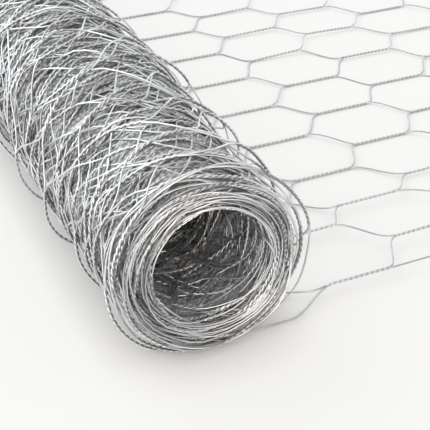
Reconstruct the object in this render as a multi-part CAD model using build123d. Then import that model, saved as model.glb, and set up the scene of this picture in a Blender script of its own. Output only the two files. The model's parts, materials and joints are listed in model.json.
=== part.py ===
"""A roll of hexagonal wire netting, lying on its side with the last part of it unrolled.

X runs the way the netting unrolls, Y along the roll's axis and Z up. The origin is on the
floor, under the middle of the whole piece.
"""

from build123d import *
import math
import os

# Driving dimensions, in millimetres
wire_diameter = 1.0
mesh_width = 50.0  # across a cell, from one twisted side to the other
netting_width = 600.0  # as it is sold, made up of whole cells
twist_length = 40.0
cell_pitch = 126.0  # along the netting, from a twist to the next in the same row
roll_diameter = 100.0
turn_count = 12
turn_pitch = 1.65  # what a turn adds to the roll's radius
turn_groove_width = 0.4  # the gap that shows between two turns at the roll's ends
turn_groove_depth = 2.0
first_twist = 48.0  # from the roll's axis to the first whole twist of the selvedge
loose_length = 446.0  # from the roll's axis to the cut end
roll_gap = 0.1  # between the roll's underside and the twists that come out from under it
cut_overrun = 1.0  # how far a cutting tool passes the face it cuts

# The netting
twist_diameter = 2 * wire_diameter
cells_across = round(netting_width / mesh_width)
row_spacing = mesh_width / 2
row_count = 2 * cells_across + 1
edge_to_edge = mesh_width * cells_across + twist_diameter
slant_run = cell_pitch / 2 - twist_length
slant_angle = math.atan2(row_spacing, slant_run)

# The roll, wound as half circles on two centres
roll_radius = roll_diameter / 2
bore_radius = roll_radius - turn_count * turn_pitch
left_centre = roll_radius
right_centre = roll_radius + turn_pitch / 2
right_radius = roll_radius - turn_pitch / 2

# Where the roll's axis stands, so that the whole piece is centred on the origin
axis_place = (roll_radius - loose_length) / 2
near_end = -edge_to_edge / 2


def half_turn(radius, centre_height, bulge):
    """A half circle from the top of a turn to its bottom, on the left (-1) or right (1)."""
    top = (0, centre_height + radius)
    side = (bulge * radius, centre_height)
    bottom = (0, centre_height - radius)
    return ThreePointArc(top, side, bottom)


def spiral_edges(offset):
    """The line between the turns, from the outer one in, moved outward by offset."""
    edges = []
    for turn in range(1, turn_count):
        inward = turn * turn_pitch
        edges.append(half_turn(roll_radius - inward + offset, left_centre, -1))
        edges.append(half_turn(right_radius - inward + offset, right_centre, 1))
    return edges[:-1]


def turn_groove():
    """The spiral gap between the turns, as a flat face."""
    half_width = turn_groove_width / 2
    outer = spiral_edges(half_width)
    inner = spiral_edges(-half_width)
    start = Line(outer[0].position_at(1), inner[0].position_at(1))
    end = Line(outer[-1].position_at(0), inner[-1].position_at(0))
    return make_face(outer + inner + [start, end])


def wound_roll():
    """The wound turns: one solid with its bore, and the spiral of its turns on both ends."""
    left = half_turn(roll_radius, left_centre, -1)
    right = half_turn(right_radius, right_centre, 1)
    step = Line(right.position_at(1), left.position_at(1))
    section = make_face([left, right, step])
    section -= Pos(0, roll_radius) * Circle(bore_radius)
    end_plane = Plane((axis_place, near_end, 0), x_dir=(1, 0, 0), z_dir=(0, -1, 0))
    roll = extrude(end_plane * section, -edge_to_edge)
    groove = turn_groove()
    for end_place, outward in ((near_end, 1), (-near_end, -1)):
        plane = Plane((axis_place, end_place, 0), x_dir=(1, 0, 0), z_dir=(0, -1, 0))
        roll -= extrude(plane.offset(outward * cut_overrun) * groove,
                        -outward * (turn_groove_depth + cut_overrun))
    return roll


def room_under_roll(height):
    """How far from the roll's axis its underside is that high above the floor."""
    drop = right_centre - height
    return math.sqrt(max(0, right_radius**2 - drop**2))


def twist_starts(row):
    """Where the twists of a row start, counted from the roll's axis."""
    start = first_twist - cell_pitch
    if row % 2:
        start += cell_pitch / 2
    while start < loose_length:
        yield start
        start += cell_pitch


def cell_opening(row, start):
    """The opening of the cell that ends where a twist starts. Beside a selvedge it is half a cell."""
    tip_in = wire_diameter / 2 / math.sin(slant_angle)
    half_height = row_spacing - wire_diameter
    tip = twist_length / 2 + slant_run - tip_in
    shoulder = tip - half_height / math.tan(slant_angle)
    outline = [(-tip, 0)]
    if row > 0:
        outline += [(-shoulder, -half_height), (shoulder, -half_height)]
    outline += [(tip, 0)]
    if row < row_count - 1:
        outline += [(shoulder, half_height), (-shoulder, half_height)]
    middle = start - twist_length / 2 - slant_run
    opening = make_face(Polyline(outline, close=True))
    return Pos(axis_place + middle, row_place(row)) * opening


def row_place(row):
    """Where a row of twists lies along the roll."""
    return (row - cells_across) * row_spacing


def bar(start, end, centre, width, bottom, height):
    """A straight bar along X between two distances from the roll's axis."""
    middle = (axis_place + (start + end) / 2, centre, bottom)
    return Pos(middle) * Box(end - start, width, height, align=(Align.CENTER, Align.CENTER, Align.MIN))


def loose_end():
    """The unrolled netting, flat on the floor: its wires are bars that are fused where they meet."""
    start = room_under_roll(wire_diameter)
    netting = bar(start, loose_length, 0, edge_to_edge, 0, wire_diameter)
    openings = []
    twists = []
    for row in range(row_count):
        for twist_start in twist_starts(row):
            openings.append(cell_opening(row, twist_start))
            low = max(twist_start, room_under_roll(twist_diameter + roll_gap))
            high = min(twist_start + twist_length, loose_length)
            if high > low:
                twists.append(bar(low, high, row_place(row), twist_diameter, wire_diameter, wire_diameter))
        openings.append(cell_opening(row, twist_start + cell_pitch))
    below = Pos(0, 0, -cut_overrun)
    netting -= [below * extrude(opening, wire_diameter + 2 * cut_overrun) for opening in openings]
    return netting + twists


def main():
    os.makedirs("parts", exist_ok=True)
    for name, shape in (("wound_roll", wound_roll()), ("loose_end", loose_end())):
        shape.label = name
        export_step(shape, f"parts/{name}.step")
        print(name, len(shape.solids()), "solid", round(shape.volume), "mm3")


main()
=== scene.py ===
import json
import math

import bpy
import numpy as np
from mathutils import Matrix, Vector


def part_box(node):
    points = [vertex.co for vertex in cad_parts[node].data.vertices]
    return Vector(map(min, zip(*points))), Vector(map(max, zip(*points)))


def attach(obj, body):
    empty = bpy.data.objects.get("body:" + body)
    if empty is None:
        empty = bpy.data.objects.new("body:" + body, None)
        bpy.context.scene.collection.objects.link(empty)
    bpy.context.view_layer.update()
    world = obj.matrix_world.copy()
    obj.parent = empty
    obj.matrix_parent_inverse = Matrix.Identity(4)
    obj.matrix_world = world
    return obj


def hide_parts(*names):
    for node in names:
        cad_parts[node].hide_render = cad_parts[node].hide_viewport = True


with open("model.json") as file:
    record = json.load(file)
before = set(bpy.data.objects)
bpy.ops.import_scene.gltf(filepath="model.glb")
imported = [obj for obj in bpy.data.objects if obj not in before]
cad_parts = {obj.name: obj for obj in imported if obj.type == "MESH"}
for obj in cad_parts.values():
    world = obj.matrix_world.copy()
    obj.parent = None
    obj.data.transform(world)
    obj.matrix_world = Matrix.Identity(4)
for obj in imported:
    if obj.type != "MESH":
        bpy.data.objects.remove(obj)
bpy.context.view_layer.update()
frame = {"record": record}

bore = next(mount for mount in frame["record"]["mounts"] if mount["name"] == "bore")
looseLow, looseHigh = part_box("loose_end")
rollLow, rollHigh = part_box("wound_roll")

axisX, axisZ = bore["pos_m"][0], bore["pos_m"][2]
boreRadius = bore["dims"]["r_mm"] / 1000
rollRadius = axisX - rollLow.x
print("frame loaded: roll radius", round(rollRadius, 4), "bore radius", round(boreRadius, 4))

# in metres; a pair called waves is how long they are along and across the netting
netting = {
    "wireRadius": 0.0005,
    "meshWidth": 0.050,       # across a cell, between its twisted sides
    "twistLength": 0.040,
    "cellPitch": 0.126,       # from a twist to the next one in its row
    "firstTwist": 0.048,      # from the roll's axis to the first selvedge twist on the floor
    "turnsPerTwist": 6,
    "looseBendShare": 0.38,   # how much of a slant is the bend at each of its ends
    "woundBendShare": 0.18,
    "twistShift": 0.0022,     # unevenness of the weave
    "rowShift": 0.0007,
    "edgeSkew": 0.026,        # how far the near selvedge runs ahead of the other rows on the floor
    "woundSkew": -0.020,      # and on the roll
    "skewPlaces": (-0.20, 0.02),   # where on the way to the roll it slips
    "skewZone": (0.17, -0.02),     # distances from the near edge between which that starts
    "beadBias": 0.36,         # how much darker than single wires the twists on the roll are drawn
    "slantBias": 0.60,        # and single wires than twists on the floor
    "strandWaves": (0.016, 0.008),   # of brighter and duller stretches of wire
    "seed": 11,
}

winding = {
    "turns": 38,
    "axialDrift": 0.0100,     # how far the rows wander along the roll
    "axialWaves": (0.032, 0.040),
    "driftPlaces": (0.02, -0.12),    # where on the way to the roll that starts and is full
    "endDrift": 0.0036,       # how far the selvedges wander at its two ends
    "endWaves": (0.034, 0.2),
    "endShares": (2.2, 0.7),  # how much of that counts inward and outward
    "endZone": 0.040,         # how far from the ends it is felt
    "layerDrift": 0.0011,     # how far a turn leaves its place in the wall
    "layerWaves": (0.030, 0.030),
    "layerStart": 0.5,        # the angle of the outer turn over which that starts
    "layerRipple": 0.0005,
    "rippleWaves": (0.009, 0.012),
    "slantBow": 0.0011,       # how far single wires bow out of their turn
    "looseLifts": (           # after so many turns, how far the outer ones stand off the roll
        (0, 0), (0.07, 0.0030), (0.20, 0.0068), (0.40, 0.0030), (0.60, 0.0024), (0.72, 0.0032),
        (0.85, 0.0020), (1.0, 0), (1.22, 0.0016), (1.55, 0.0018), (1.70, 0.0040), (1.85, 0.0024),
        (2.0, 0), (2.72, 0.0024), (3.0, 0),
    ),
    "looseSpread": 0.35,      # how uneven those lifts are
    "looseWaves": (0.040, 0.050),
    "pressDepth": 0.0050,     # how far the turns below are pressed in on the right of the near end
    "pressAngle": 0.6,        # the middle of that dent, round the roll from its right side up
    "pressTurns": (0.8, 2.4),
    "pressZone": (0.16, 0.05),    # distances from the near end between which the dent starts
    "skin": 0.0040,           # depth that the drawn turns crowd into, at the outside and round the bore
    "skinTurns": (19, 20),    # the turns between those two crowds
    "skinZone": (0.008, 0.050),   # distances from the roll's ends between which they crowd
    "seed": 5,
}

looseEnd = {
    "lift": 0.0022,           # how far the unrolled netting waves above the floor
    "liftWaves": (0.060, 0.060),
    "liftPlaces": (0.03, 0.12),    # distances from the roll's axis between which that starts
    "edgePull": 0.013,        # how far the near selvedge is drawn in beside the roll
    "edgeLift": 0.005,        # and how far it stands up there
    "edgeStart": (0.045, 0.078),   # distances from the roll's axis between which both start
    "edgeEnd": (0.36, 0.22),       # and fade out
    "pullZone": (0.11, 0.04),      # distances from the near edge between which the pull starts
    "liftZone": (0.13, 0.05),      # and the lift
    "seed": 23,
}

wireRadius = netting["wireRadius"]
twistRadius = 2 * wireRadius
rowSpacing = netting["meshWidth"] / 2
rowCount = round((looseHigh.y - looseLow.y - 2 * twistRadius) / rowSpacing)   # gaps between rows
halfPitch = netting["cellPitch"] / 2
nearEdge = looseLow.y + twistRadius
cutEnd = looseHigh.x - axisX
outerRadius = rollRadius - twistRadius
turnPitch = (rollRadius - boreRadius - 2 * twistRadius) / winding["turns"]
woundLength = 2 * math.pi * winding["turns"] * (outerRadius - turnPitch * winding["turns"] / 2)


# a smooth random field over the netting, from a handful of waves
class Field:
    def __init__(self, seed, lengthAlong, lengthAcross, waves=28):
        rng = np.random.RandomState(seed)
        self.along = rng.normal(0, 1 / lengthAlong, waves)
        self.across = rng.normal(0, 1 / lengthAcross, waves)
        self.phase = rng.uniform(0, 2 * math.pi, waves)
        self.gain = math.sqrt(2 / waves)

    def __call__(self, s, w):
        total = np.zeros_like(s)
        for along, across, phase in zip(self.along, self.across, self.phase):
            total += np.sin(along * s + across * w + phase)
        return total * self.gain


# a smooth step from 0 at low to 1 at high, which may be the smaller one
def ease(low, high, value):
    share = np.clip((value - low) / (high - low), 0, 1)
    return share * share * (3 - 2 * share)


# how far round the roll, in radians, a point of the netting is from where it leaves the floor
def windingAngle(s):
    wound = np.maximum(-s, 0)
    root = np.sqrt(np.maximum(outerRadius ** 2 - turnPitch * wound / math.pi, 0))
    return 2 * math.pi / turnPitch * (outerRadius - root)


# a turn's place in the wall: evenly spaced at the roll's ends, where all turns show, and crowded between
def turnRadius(turn, fromEnd):
    even = outerRadius - turnPitch * turn
    inner = outerRadius - turnPitch * winding["turns"]
    crowded = np.interp(turn, (0, *winding["skinTurns"], winding["turns"]),
                        (outerRadius, outerRadius - winding["skin"], inner + winding["skin"], inner))
    return even + (crowded - even) * ease(*winding["skinZone"], fromEnd)


# the dent in the turns on the right of the near end, under the loose outer ones
def pressedIn(turn, angle, w, radius):
    facing = np.maximum(np.cos(angle - winding["pressAngle"]), 0) ** 2
    share = np.clip((radius - boreRadius) / (rollRadius - boreRadius), 0, 1)
    depth = winding["pressDepth"] * facing * share
    return depth * ease(*winding["pressTurns"], turn) * ease(*winding["pressZone"], w)


axialField = Field(winding["seed"], *winding["axialWaves"])
endField = Field(winding["seed"] + 1, *winding["endWaves"])
layerField = Field(winding["seed"] + 2, *winding["layerWaves"])
rippleField = Field(winding["seed"] + 4, *winding["rippleWaves"])
looseField = Field(winding["seed"] + 3, *winding["looseWaves"])
liftField = Field(looseEnd["seed"], *looseEnd["liftWaves"])
strandField = Field(netting["seed"] + 1, *netting["strandWaves"])


# netting coordinates to the part's frame: s along from the roll, w across, n out of the sheet
def place(s, w, n):
    onRoll = ease(*winding["driftPlaces"], s)
    width = rowCount * rowSpacing
    fromEnd = np.minimum(w, width - w)
    inside = ease(0, winding["endZone"], fromEnd)
    inward = np.where(w < width / 2, 1, -1) * (1 - inside)
    drawn = endField(s, w)
    drift = inside * winding["axialDrift"] * axialField(s, w)
    drift += inward * winding["endDrift"] * (np.where(drawn > 0, *winding["endShares"]) * drawn)
    besideRoll = ease(*looseEnd["edgeStart"], s) * ease(*looseEnd["edgeEnd"], s)
    y = nearEdge + w + onRoll * drift
    y += looseEnd["edgePull"] * besideRoll * ease(*looseEnd["pullZone"], w)
    turned = windingAngle(s)
    turnIndex = turned / (2 * math.pi)
    standOff = np.interp(turnIndex, *zip(*winding["looseLifts"]))
    standOff *= 1 + winding["looseSpread"] * looseField(s, w)
    wander = winding["layerDrift"] * layerField(s, w) + winding["layerRipple"] * rippleField(s, w)
    wander *= ease(0, winding["layerStart"], turned)
    angle = -math.pi / 2 - turned
    radius = turnRadius(turnIndex, fromEnd)
    radius += standOff + wander + n - pressedIn(turnIndex, angle, w, radius)
    lift = looseEnd["lift"] * np.maximum(liftField(s, w), 0) * ease(*looseEnd["liftPlaces"], s)
    lift += looseEnd["edgeLift"] * besideRoll * ease(*looseEnd["liftZone"], w)
    onFloor = s >= 0
    x = np.where(onFloor, axisX + s, axisX + radius * np.cos(angle))
    z = np.where(onFloor, twistRadius + lift - n, axisZ + radius * np.sin(angle))
    z = np.maximum(z, wireRadius)
    outward = np.stack([np.where(onFloor, 0, np.cos(angle)), np.zeros_like(s),
                        np.where(onFloor, -1, np.sin(angle))], axis=1)
    return np.stack([x, y, z], axis=1), outward


# the weave, in rows of twists that stand half a pitch apart by turns
firstHalf = math.floor((-woundLength - netting["firstTwist"]) / halfPitch) - 1
lastHalf = math.ceil((cutEnd - netting["firstTwist"]) / halfPitch) + 1
rng = np.random.RandomState(netting["seed"])
shape = (rowCount + 1, lastHalf - firstHalf + 1)
startShift = rng.uniform(-1, 1, shape) * netting["twistShift"]
acrossShift = rng.uniform(-1, 1, shape) * netting["rowShift"]
bows = rng.normal(0, 1, shape) * winding["slantBow"]


# where a twist starts, along and across the netting
def twistAt(row, half):
    across = row * rowSpacing + acrossShift[row, half - firstHalf]
    start = netting["firstTwist"] + half * halfPitch
    skew = np.interp(start, netting["skewPlaces"], (netting["woundSkew"], netting["edgeSkew"]))
    return start + startShift[row, half - firstHalf] + skew * ease(*netting["skewZone"], across), across


# rise of a slant between two rows, straight with a bend at each end
def slantRise(t, bend):
    low = t * t / (2 * bend)
    middle = t - bend / 2
    high = 1 - bend - (1 - t) ** 2 / (2 * bend)
    return np.where(t < bend, low, np.where(t > 1 - bend, high, middle)) / (1 - bend)


# the netting by turns of the roll: the node that a piece stands for, the turns that it goes from and to,
# its wires' sides, their steps to a turn of a twist and along a slant, and how many wires at each edge of
# it are drawn, if not all
pieceKeys = ("name", "node", "first", "last", "sides", "twistSteps", "slantSteps", "edgeWires")
pieceTable = [dict(zip(pieceKeys, row)) for row in (
    ("loose_netting", "loose_end", None, 0, 6, 6, 9, None),
    ("outer_turns_1", "wound_roll", 0, 4, 5, 5, 6, None),
    ("outer_turns_2", "wound_roll", 4, 9, 4, 4, 5, None),
    ("outer_turns_3", "wound_roll", 9, 19, 4, 3, 4, None),
    ("wall_turns", "wound_roll", 19, 20, 4, 4, 5, 3),
    ("inner_turns_1", "wound_roll", 20, 28, 4, 3, 4, 9),
    ("inner_turns_2", "wound_roll", 28, 34, 4, 4, 5, None),
    ("inner_turns_3", "wound_roll", 34, 38, 5, 5, 6, None),
)]


# where the netting is, along from the roll's foot, that has gone round so many turns
def turnPlace(turns):
    return -2 * math.pi * turns * (outerRadius - turnPitch * turns / 2)


# the row of the table for a place along the netting
def pieceAt(s):
    for entry in pieceTable:
        if s >= turnPlace(entry["last"]):
            return entry
    return pieceTable[-1]


# one wire of the weave as s, w, n and which way it faces in a twist; visits gives its row and side at each
# half pitch, or none
def wirePath(visits):
    parts = []
    before = None
    for half in range(firstHalf, lastHalf + 1):
        visit = visits(half)
        if visit is None:
            continue
        row, side = visit
        start, across = twistAt(row, half)
        entry = pieceAt(start)
        twistShares = np.linspace(0, 1, entry["twistSteps"] * netting["turnsPerTwist"] + 1)
        turn = 2 * math.pi * netting["turnsPerTwist"] * twistShares
        s = start + netting["twistLength"] * twistShares
        w = across + side * wireRadius * np.cos(turn)
        bead = side * np.sin(turn)
        if before is not None:
            fromS, fromW = before
            longer = max(1, (start - fromS) / (halfPitch / 2))   # the runs of a selvedge wire
            slantShares = np.linspace(0, 1, round(entry["slantSteps"] * longer) + 1)[1:-1]
            run = fromS + (start - fromS) * slantShares
            bend = netting["looseBendShare"] if start > 0 else netting["woundBendShare"]
            rise = fromW + (w[0] - fromW) * slantRise(slantShares, bend)
            bow = bows[row, half - firstHalf] * np.sin(math.pi * slantShares)
            parts.append((run, rise, bow, 0 * bow))
        parts.append((s, w, wireRadius * bead, bead))
        before = (s[-1], w[-1])
    return [np.concatenate(column) for column in zip(*parts)]


def innerWire(k):
    return lambda half: (k, 1) if k % 2 == half % 2 else (k + 1, -1)


def selvedgeWire(row, side):
    return lambda half: (row, side) if row % 2 == half % 2 else None


wires = [wirePath(selvedgeWire(0, -1))]
wires += [wirePath(innerWire(k)) for k in range(rowCount)]
wires += [wirePath(selvedgeWire(rowCount, 1))]
print("weave:", len(wires), "wires,", sum(len(wire[0]) for wire in wires), "points")


# every wire, or a few at each edge, cut to a stretch of the netting
def stretch(low, high, edgeWires):
    drawn = wires if edgeWires is None else wires[:edgeWires] + wires[-edgeWires:]
    runs = []
    for wire in drawn:
        s = wire[0]
        inside = np.nonzero((s >= low) & (s <= high))[0]
        first = max(inside[0] - 1, 0) if s[0] < low else inside[0]
        runs.append([column[first:inside[-1] + 1] for column in wire])
    return runs


# painted shade and highlight: how bright a wire is drawn for where it lies in a twist, lighter over the other
# wire and darker behind it as it is seen
def twistShadeTone(s, bead):
    outside = (s < 0) & (s > turnPlace(winding["skinTurns"][1]))
    duller = np.where(s < 0, netting["beadBias"] * (bead != 0), netting["slantBias"] * (bead == 0))
    return np.where(outside, bead, -bead) - duller


bakeMap = {                   # how the wires lie in the UV map
    "aspect": 1.3,            # of all rows together, length to height
    "rowSlack": 1.05,         # room for the last segment of a row
    "rowStart": 0.1,          # part of a row's height that is left free below the wire
    "rowUsed": 0.8,           # and that it takes up
    "capSpan": 0.98,          # part of the map's width that the cut ends take up
    "capWidth": 0.005,
    "capHeight": 0.5,         # part of a row's height
    "capRadius": 0.4,
}


# the wires' length is folded into rows, and their girth goes across a row
def stripUv(lengths, sides):
    girth = 2 * math.pi * wireRadius
    rowLength = math.sqrt(lengths.sum() * girth * bakeMap["aspect"])
    begins = np.cumsum(lengths) - lengths
    row = np.floor(begins / rowLength)
    rowTotal = row[-1] + 2
    rowSpan = rowLength * bakeMap["rowSlack"]
    u0 = np.repeat(((begins - row * rowLength) / rowSpan)[:, None], sides, axis=1)
    u1 = u0 + (lengths / rowSpan)[:, None]
    v0 = (row[:, None] + bakeMap["rowStart"] + bakeMap["rowUsed"] * np.arange(sides) / sides) / rowTotal
    v1 = v0 + bakeMap["rowUsed"] / sides / rowTotal
    corners = ((u0, v0), (u0, v1), (u1, v1), (u1, v0))
    return np.stack([np.stack(corner, axis=2) for corner in corners], axis=2).reshape(-1, 2), rowTotal


# their cut ends are side by side in a row above
def capUv(count, ring, rowTotal):
    across = 0.5 + bakeMap["capRadius"] * np.cos(ring)
    up = 0.5 + bakeMap["capRadius"] * np.sin(ring)
    u = bakeMap["capSpan"] * np.arange(count)[:, None] / count + bakeMap["capWidth"] * across
    v = 1 - (1 - up) * bakeMap["capHeight"] / rowTotal + 0 * u
    return np.stack([u, v], axis=2).reshape(-1, 2)


# round tubes along runs of points, joined in one mesh
def tubeMesh(name, runs, sides):
    ring = np.arange(sides) * 2 * math.pi / sides
    ringRadius = wireRadius * math.pi / (sides * math.sin(math.pi / sides))   # as wide as a round wire
    points, quads, caps, lengths = [], [], [], []
    tones = {"strandTone": [], "beadTone": []}
    base = 0
    for s, w, n, bead in runs:
        tones["strandTone"].append(np.repeat(strandField(s, w), sides))
        tones["beadTone"].append(np.repeat(twistShadeTone(s, bead), sides))
        centre, outward = place(s, w, n)
        along = np.gradient(centre, axis=0)
        along /= np.linalg.norm(along, axis=1, keepdims=True)
        up = outward - along * np.sum(outward * along, axis=1, keepdims=True)
        up /= np.linalg.norm(up, axis=1, keepdims=True)
        side = np.cross(along, up)
        spokes = np.cos(ring)[:, None] * up[:, None, :] + np.sin(ring)[:, None] * side[:, None, :]
        points.append((centre[:, None, :] + ringRadius * spokes).reshape(-1, 3))
        count = len(s)
        first = base + np.arange(count - 1)[:, None] * sides
        here = np.arange(sides)[None, :]
        after = (here + 1) % sides
        corners = [first + here, first + after, first + sides + after, first + sides + here]
        quads.append(np.stack(corners, axis=2).reshape(-1, 4))
        lengths.append(np.linalg.norm(np.diff(centre, axis=0), axis=1))
        caps.append(base + np.arange(sides)[::-1])
        caps.append(base + (count - 1) * sides + np.arange(sides))
        base += count * sides
    points = np.concatenate(points)
    quads = np.concatenate(quads)
    caps = np.stack(caps)
    mesh = bpy.data.meshes.new(name)
    mesh.vertices.add(len(points))
    mesh.vertices.foreach_set("co", points.ravel())
    loopVerts = np.concatenate([quads.ravel(), caps.ravel()])
    mesh.loops.add(len(loopVerts))
    mesh.loops.foreach_set("vertex_index", loopVerts.astype(np.int32))
    for tone, values in tones.items():
        attribute = mesh.attributes.new(tone, "FLOAT", "POINT")
        attribute.data.foreach_set("value", np.concatenate(values).astype(np.float32))
    faceSizes = np.concatenate([np.full(len(quads), 4), np.full(len(caps), sides)])
    faceStarts = np.cumsum(faceSizes) - faceSizes
    mesh.polygons.add(len(faceSizes))
    mesh.polygons.foreach_set("loop_start", faceStarts.astype(np.int32))
    mesh.polygons.foreach_set("use_smooth", np.ones(len(faceSizes), dtype=bool))
    wireUv, rowTotal = stripUv(np.concatenate(lengths), sides)
    uv = np.concatenate([wireUv, capUv(len(caps), ring, rowTotal)])
    uvLayer = mesh.uv_layers.new(name="OFBake")
    uvLayer.data.foreach_set("uv", uv.ravel().astype(np.float32))
    mesh.update()
    mesh.validate()
    print(name, len(points), "points", 2 * len(quads) + (sides - 2) * len(caps), "triangles")
    return mesh


# one socket of a node tree; sums and products of it add Math nodes
class Signal:
    def __init__(self, socket):
        self.socket = socket
        self.tree = socket.id_data

    @staticmethod
    def node(tree, kind, settings=None, sockets=None, out=0):
        made = tree.nodes.new(kind)
        for name, value in (settings or {}).items():
            setattr(made, name, value)
        for name, value in (sockets or {}).items():
            if isinstance(value, Signal):
                tree.links.new(value.socket, made.inputs[name])
            else:
                made.inputs[name].default_value = value
        return None if out is None else Signal(made.outputs[out])

    def math(self, operation, other=0):
        return Signal.node(self.tree, "ShaderNodeMath", {"operation": operation}, {0: self, 1: other})

    def reflected(self, operation, other):
        return Signal.node(self.tree, "ShaderNodeMath", {"operation": operation}, {0: other, 1: self})

    def __add__(self, other):
        return self.math("ADD", other)

    def __radd__(self, other):
        return self.reflected("ADD", other)

    def __sub__(self, other):
        return self.math("SUBTRACT", other)

    def __rsub__(self, other):
        return self.reflected("SUBTRACT", other)

    def __mul__(self, other):
        return self.math("MULTIPLY", other)

    def __rmul__(self, other):
        return self.reflected("MULTIPLY", other)


# a Mix node between two colours, whose sockets share their names with others and go by number
def mixedColour(factor, first, second):
    return Signal.node(factor.tree, "ShaderNodeMix", {"data_type": "RGBA"},
                       {0: factor, 6: first, 7: second}, out=2)


def emptyTree(owner):
    owner.use_nodes = True
    owner.node_tree.nodes.clear()
    return owner.node_tree


# the zinc's own colour and roughness, with painted shade deep in the roll and at the twists
zincFinishAndShade = {
    "bright": (0.85, 0.857, 0.863, 1),
    "dull": (0.63, 0.634, 0.64, 1),
    "dullNoises": {           # scale per metre, detail and roughness of a noise, its zero and its share
        "patches": (140.0, 3.0, 0.6, 0.3, 1.5),
        "stretches": (22.0, 1.0, 0.5, 0.5, 0.8),
        "grain": (2600.0, 2.0, 0.5, 0.5, 0.3),
    },
    "roughness": 0.32,
    "roughnessSpread": 0.20,
    "grainHeight": 0.00002,
    "grainStrength": 0.5,
    "strandSpread": 0.28,     # how much brighter or darker than the rest a stretch of wire is
    "beadSpread": 0.70,       # and, as painted shade and highlight, a wire in a twist, where it faces out or is behind the other
    "looseBeadSpread": 0.40,
    "toneLimits": (0.35, 1.02),
    "deepShade": 0.24,        # painted shade: what is left of the brightness deep between the turns
    "deepZone": (0.0015, 0.0080),    # depths below the roll's surface between which it gets there
    "outerDepthShare": 0.6,   # how much of a strand's depth below the roll's outside counts
    "boreDepthShare": 0.35,   # below the bore
    "endDepthShare": 3.8,     # and behind the roll's ends
    "looseShade": 0.90,       # what is left of the brightness of the unrolled netting
    "looseZone": (0.004, 0.016),     # distances from the roll's outside between which that starts
}


# how far a spot is from the roll's axis
def axisDistance(spot):
    offset = Signal.node(spot.tree, "ShaderNodeVectorMath", {"operation": "SUBTRACT"},
                         {0: spot, 1: (axisX, 0, axisZ)})
    across = Signal.node(spot.tree, "ShaderNodeVectorMath", {"operation": "MULTIPLY"},
                         {0: offset, 1: (1, 0, 1)})
    return Signal.node(spot.tree, "ShaderNodeVectorMath", {"operation": "LENGTH"}, {0: across}, out="Value")


# how far it is below the roll's outside, its bore or its ends
def depthInRoll(spot, radius):
    along = Signal.node(spot.tree, "ShaderNodeSeparateXYZ", None, {0: spot}, out="Y")
    fromEnd = (rollHigh.y - along.math("ABSOLUTE")) * zincFinishAndShade["endDepthShare"]
    fromOuter = (rollRadius - radius) * zincFinishAndShade["outerDepthShare"]
    fromBore = (radius - boreRadius) * zincFinishAndShade["boreDepthShare"]
    return fromOuter.math("MINIMUM", fromBore).math("MINIMUM", fromEnd)


def galvanisedZinc():
    material = bpy.data.materials.new("galvanisedZinc")
    tree = emptyTree(material)
    spot = Signal.node(tree, "ShaderNodeTexCoord", out="Object")
    noises = {}
    dullness = 0
    for name, (scale, detail, roughness, zero, share) in zincFinishAndShade["dullNoises"].items():
        noises[name] = Signal.node(tree, "ShaderNodeTexNoise", None,
                                   {"Vector": spot, "Scale": scale, "Detail": detail, "Roughness": roughness})
        dullness = dullness + (noises[name] - zero) * share
    dullness = Signal.node(tree, "ShaderNodeClamp", None, {"Value": dullness})
    colour = mixedColour(dullness, zincFinishAndShade["bright"], zincFinishAndShade["dull"])
    radius = axisDistance(spot)
    depth = depthInRoll(spot, radius)
    # painted shade: the wires' colour darkens with depth below the roll's outside, bore and ends, where shade
    # falls between the turns
    deepFrom, deepTo = zincFinishAndShade["deepZone"]
    shade = Signal.node(tree, "ShaderNodeMapRange", {"interpolation_type": "SMOOTHSTEP"},
                        {"Value": depth, "From Min": deepFrom, "From Max": deepTo,
                         "To Min": 1.0, "To Max": zincFinishAndShade["deepShade"]})
    looseFrom, looseTo = zincFinishAndShade["looseZone"]
    loose = Signal.node(tree, "ShaderNodeMapRange", None,
                        {"Value": radius, "From Min": rollRadius + looseFrom,
                         "From Max": rollRadius + looseTo})
    wound = 1 - loose
    strand = Signal.node(tree, "ShaderNodeAttribute", {"attribute_name": "strandTone"}, out="Fac")
    # painted shade and highlight of the twists: a twisted wire lighter where it lies over its partner, darker
    # where it is behind it
    bead = Signal.node(tree, "ShaderNodeAttribute", {"attribute_name": "beadTone"}, out="Fac")
    twistShading = wound * zincFinishAndShade["beadSpread"] + loose * zincFinishAndShade["looseBeadSpread"]
    toneLow, toneHigh = zincFinishAndShade["toneLimits"]
    tone = Signal.node(tree, "ShaderNodeClamp", None,
                       {"Value": 1 + strand * wound * zincFinishAndShade["strandSpread"] + bead * twistShading,
                        "Min": toneLow, "Max": toneHigh})
    level = shade * tone * (wound + loose * zincFinishAndShade["looseShade"])
    colour = Signal.node(tree, "ShaderNodeVectorMath", {"operation": "SCALE"}, {0: colour, "Scale": level})
    bump = Signal.node(tree, "ShaderNodeBump", None,
                       {"Height": noises["grain"], "Distance": zincFinishAndShade["grainHeight"],
                        "Strength": zincFinishAndShade["grainStrength"]})
    surface = Signal.node(tree, "ShaderNodeBsdfPrincipled", None,
                          {"Base Color": colour, "Metallic": 1.0, "Normal": bump,
                           "Roughness": zincFinishAndShade["roughness"] + dullness * zincFinishAndShade["roughnessSpread"]})
    Signal.node(tree, "ShaderNodeOutputMaterial", None, {"Surface": surface}, out=None)
    print("zinc of the wires:", len(tree.nodes), "nodes")
    return material


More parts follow.
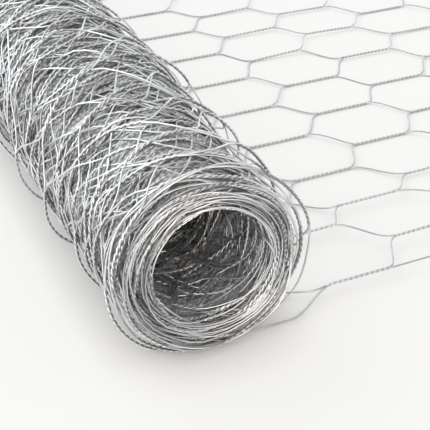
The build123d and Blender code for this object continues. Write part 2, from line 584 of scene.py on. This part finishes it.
packedWall = {
    "inset": 0.011,           # how far it stays back from the roll's ends
    "capTurns": (12, 31),     # the turns that it lies between there
    "ripple": 0.0007,
    "rippleWaves": (0.006, 0.010),
    "rippleRound": 0.04,      # how much the ripple changes on the way round the roll
    "around": 96,             # steps round the roll, along it and across its ends
    "along": 56,
    "across": 4,
    # painted shade: the dark colours are the shade in the gaps between the strands
    "dark": (0.13, 0.13, 0.132, 1),
    "bright": (0.78, 0.783, 0.786, 1),
    "boreDark": (0.28, 0.292, 0.312, 1),
    "boreBright": (0.94, 0.972, 1.0, 1),
    "strandAngles": (0.45, -0.55, 0.08, -0.12, 0.25),
    "strandSize": 0.0030,
    "strandLength": 0.045,
    "strandFalloff": 6,       # painted shade: how soon a strand darkens from its middle to its sides
    "strandLeast": 0.4,       # how bright the dullest strand is, against the brightest
    "strandLevels": (0.25, 0.85),    # what counts as dark and as bright
    "beadLength": 0.0034,     # between two crossings of a twisted pair
    "beadDepth": 0.2,         # how much darker it is there, as painted shade
    "beadScatter": 6,         # how many radians the crossings of two strands may be apart
    "bumpHeight": 0.0006,
    "bumpStrength": 0.9,
    "metallic": 0.3,
    "roughness": 0.45,
    "seed": 41,
}


# tangled strands, deep between the turns: layers of long cells, each with a brightness of its own, drawn with
# painted shade in the gaps between them, on their sides and at their crossings
def packedZinc():
    material = bpy.data.materials.new("packedZinc")
    tree = emptyTree(material)
    spot = Signal.node(tree, "ShaderNodeUVMap", {"uv_map": "OFBake"})
    girth = 2 * math.pi * outerRadius
    length = 2 * (rollHigh.y - rollLow.y)   # over its outside and back through its bore
    cellSize = (1 / packedWall["strandLength"], 1 / packedWall["strandSize"], 1)
    least, beadDepth = packedWall["strandLeast"], packedWall["beadDepth"]
    strand = None
    for layer, turn in enumerate(packedWall["strandAngles"]):
        laid = Signal.node(tree, "ShaderNodeMapping", None,
                           {"Vector": spot, "Scale": (girth, length, 1), "Rotation": (0, 0, turn),
                            "Location": (layer, layer, 0)})
        drawn = Signal.node(tree, "ShaderNodeVectorMath", {"operation": "MULTIPLY"}, {0: laid, 1: cellSize})
        distance, tone = [
            Signal.node(tree, "ShaderNodeTexVoronoi", {"voronoi_dimensions": "2D"},
                        {"Vector": drawn, "Scale": 1.0}, out=out)
            for out in ("Distance", "Color")
        ]
        tone = Signal.node(tree, "ShaderNodeSeparateXYZ", None, {0: tone}, out="X")
        along = Signal.node(tree, "ShaderNodeSeparateXYZ", None, {0: laid}, out="X")
        beads = along * (2 * math.pi / packedWall["beadLength"]) + tone * packedWall["beadScatter"]
        beads = 1 - beadDepth + beadDepth * beads.math("SINE")
        # painted shade on each strand's sides and at its crossings
        shade = 1 - distance * distance * packedWall["strandFalloff"]
        shade = shade * (least + (1 - least) * tone) * beads
        strand = shade if strand is None else strand.math("MAXIMUM", shade)
    darkLevel, brightLevel = packedWall["strandLevels"]
    strand = Signal.node(tree, "ShaderNodeMapRange", None,
                         {"Value": strand, "From Min": darkLevel, "From Max": brightLevel})
    radius = axisDistance(Signal.node(tree, "ShaderNodeTexCoord", out="Object"))
    # painted light: the bore side is drawn lighter and bluer than the outside, to make up for the little
    # light that reaches into the bore
    inBore = radius.math("LESS_THAN", (rollRadius + boreRadius) / 2)
    low = mixedColour(inBore, packedWall["dark"], packedWall["boreDark"])
    high = mixedColour(inBore, packedWall["bright"], packedWall["boreBright"])
    bump = Signal.node(tree, "ShaderNodeBump", None,
                       {"Height": strand, "Distance": packedWall["bumpHeight"],
                        "Strength": packedWall["bumpStrength"]})
    surface = Signal.node(tree, "ShaderNodeBsdfPrincipled", None,
                          {"Base Color": mixedColour(strand, low, high), "Metallic": packedWall["metallic"],
                           "Roughness": packedWall["roughness"], "Normal": bump})
    Signal.node(tree, "ShaderNodeOutputMaterial", None, {"Surface": surface}, out=None)
    print("zinc of the packed turns:", len(tree.nodes), "nodes")
    return material


# the turns in the middle of the wall, too many to draw: a ring of rough tangle that the drawn turns cover
def packedTurns():
    around, along = packedWall["around"], packedWall["along"]
    low, high = rollLow.y + packedWall["inset"], rollHigh.y - packedWall["inset"]
    firstTurn, lastTurn = winding["skinTurns"]
    steps = np.linspace(0, 1, along, endpoint=False)
    caps = np.linspace(0, 1, packedWall["across"], endpoint=False)
    y = np.concatenate([low + (high - low) * steps, high + 0 * caps,
                        high + (low - high) * steps, low + 0 * caps])
    turn = np.concatenate([firstTurn + 0 * steps, firstTurn + (lastTurn - firstTurn) * caps,
                           lastTurn + 0 * steps, lastTurn + (firstTurn - lastTurn) * caps])
    fromEnd = np.minimum(y - rollLow.y, rollHigh.y - y)
    capTurn = np.interp(turn, winding["skinTurns"], packedWall["capTurns"])
    turn = capTurn + (turn - capTurn) * ease(*winding["skinZone"], fromEnd)
    radius = turnRadius(turn, fromEnd)
    count = len(y)
    angle = np.arange(around)[None, :] * 2 * math.pi / around
    y, radius = y[:, None] + 0 * angle, radius[:, None] + 0 * angle
    radius = radius - pressedIn(turn[:, None], angle, y - nearEdge, radius)
    field = Field(packedWall["seed"], *packedWall["rippleWaves"])
    rippleRound = packedWall["rippleRound"]
    swell = field(rippleRound * np.sin(angle) + radius, y + rippleRound * np.cos(angle))
    swell *= packedWall["ripple"]
    points = np.stack([axisX + (radius + swell) * np.cos(angle), y + swell,
                       axisZ + (radius + swell) * np.sin(angle)], axis=2)
    row, column = np.meshgrid(np.arange(count), np.arange(around), indexing="ij")
    corners = [(row, column), (row, column + 1), (row + 1, column + 1), (row + 1, column)]
    quads = np.stack([r % count * around + c % around for r, c in corners], axis=2).reshape(-1, 4)
    uv = np.stack([np.stack([c / around, r / count], axis=2) for r, c in corners], axis=2)
    mesh = bpy.data.meshes.new("packed_turns")
    mesh.from_pydata(points.reshape(-1, 3).tolist(), [], quads.tolist())
    uvLayer = mesh.uv_layers.new(name="OFBake")
    uvLayer.data.foreach_set("uv", uv.ravel().astype(np.float32))
    mesh.shade_smooth()
    print("packed_turns", len(mesh.vertices), "points", 2 * len(quads), "triangles")
    return mesh


def addPiece(name, mesh, material, node):
    mesh.materials.append(material)
    piece = bpy.data.objects.new(name, mesh)
    bpy.context.scene.collection.objects.link(piece)
    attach(piece, "root")
    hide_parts(node)


zinc = galvanisedZinc()
addPiece("packed_turns", packedTurns(), packedZinc(), "wound_roll")
for entry in pieceTable:
    loose = entry["first"] is None
    low, high = (0, cutEnd) if loose else (turnPlace(entry["last"]), turnPlace(entry["first"]))
    tubes = tubeMesh(entry["name"], stretch(low, high, entry["edgeWires"]), entry["sides"])
    addPiece(entry["name"], tubes, zinc, entry["node"])


stageLook = {
    "floorColour": (0.80, 0.785, 0.77, 1),
    "floorWhite": (0.97, 0.968, 0.962, 1),
    "floorGlow": 0.72,        # how much of that white the camera sees where nothing stands near
    "floorReach": 0.032,      # how near counts
    "floorSamples": 8,
    "floorSize": 30.0,
    "floorRoughness": 0.8,
    "floorGloss": 0.1,
    "skyColour": (0.97, 0.99, 1.0, 1),
    "skyLevel": 0.41,
    "skyGlows": {             # strength and direction of the soft light from each side
        "left": (1.04, (-0.95, -0.25, 0.15)),
        "right": (0.76, (0.95, 0.25, 0.15)),
        "back": (1.28, (-0.25, 0.96, 0.10)),
        "front": (0.28, (0.25, -0.96, 0.10)),
    },
    "lamps": {                # power, size, place and colour of each
        "keyLight": (14.6, 2.0, (-1.0, 1.1, 1.2), (0.92, 0.98, 1.0)),
        "frontLight": (10.2, 1.4, (-0.45, -1.6, 0.60), (1.0, 0.86, 0.74)),
    },
    "lampAim": (axisX, -0.2, 0),
}


# a pale table, which the camera and the wires see whiter than it is lit, but not close under the object
def paleTable():
    material = bpy.data.materials.new("paleTable")
    tree = emptyTree(material)
    seen = Signal.node(tree, "ShaderNodeLightPath", out="Is Camera Ray")
    for ray in ("Is Glossy Ray", "Is Transmission Ray"):
        seen = seen.math("MAXIMUM", Signal.node(tree, "ShaderNodeLightPath", out=ray))
    clear = Signal.node(tree, "ShaderNodeAmbientOcclusion", {"samples": stageLook["floorSamples"]},
                        {"Distance": stageLook["floorReach"]}, out="AO")
    lit = Signal.node(tree, "ShaderNodeBsdfPrincipled", None,
                      {"Base Color": stageLook["floorColour"], "Roughness": stageLook["floorRoughness"],
                       "Specular IOR Level": stageLook["floorGloss"]})
    white = Signal.node(tree, "ShaderNodeEmission", None,
                        {"Color": stageLook["floorWhite"], "Strength": 1.0})
    glow = seen * clear * clear * clear * stageLook["floorGlow"]
    surface = Signal.node(tree, "ShaderNodeMixShader", None, {0: glow, 1: lit, 2: white})
    Signal.node(tree, "ShaderNodeOutputMaterial", None, {"Surface": surface}, out=None)
    return material


def tableTop():
    bpy.ops.mesh.primitive_plane_add(size=stageLook["floorSize"])
    floor = bpy.context.object
    floor.name = "floor"
    floor.data.materials.append(paleTable())


def studioSky():
    world = bpy.data.worlds.new("studioSky")
    bpy.context.scene.world = world
    tree = emptyTree(world)
    direction = Signal.node(tree, "ShaderNodeTexCoord", out="Generated")
    strength = stageLook["skyLevel"]
    for glow, toward in stageLook["skyGlows"].values():
        facing = Signal.node(tree, "ShaderNodeVectorMath", {"operation": "DOT_PRODUCT"},
                             {0: direction, 1: toward}, out="Value")
        facing = Signal.node(tree, "ShaderNodeClamp", None, {"Value": facing})
        strength = strength + facing * facing * glow
    sky = Signal.node(tree, "ShaderNodeBackground", None,
                      {"Color": stageLook["skyColour"], "Strength": strength})
    Signal.node(tree, "ShaderNodeOutputWorld", None, {"Surface": sky}, out=None)


# turns an object so that it looks along a vector
def lookAlong(thing, heading):
    thing.rotation_euler = Vector(heading).to_track_quat("-Z", "Y").to_euler()


def studioLamps():
    for name, (power, size, location, colour) in stageLook["lamps"].items():
        panel = bpy.data.lights.new(name, "AREA")
        panel.energy = power
        panel.size = size
        panel.color = colour
        lamp = bpy.data.objects.new(name, panel)
        lamp.location = location
        lookAlong(lamp, Vector(stageLook["lampAim"]) - lamp.location)
        bpy.context.scene.collection.objects.link(lamp)


view = {
    "place": (-0.3721, -0.6829, 0.3429),
    "heading": (0.3537, 0.7681, -0.5338),
    "lens": 89.5,             # in millimetres, as is the sensor
    "sensor": 36,
    "nearest": 0.01,
}


def camera():
    lens = bpy.data.cameras.new("camera")
    lens.lens = view["lens"]
    lens.sensor_width = view["sensor"]
    lens.clip_start = view["nearest"]
    eye = bpy.data.objects.new("camera", lens)
    eye.location = view["place"]
    lookAlong(eye, view["heading"])
    bpy.context.scene.collection.objects.link(eye)
    bpy.context.scene.camera = eye


tableTop()
studioSky()
studioLamps()
print("stage set with", len(stageLook["lamps"]), "lamps")
camera()
bpy.context.scene.view_settings.view_transform = "Standard"
print("camera placed")
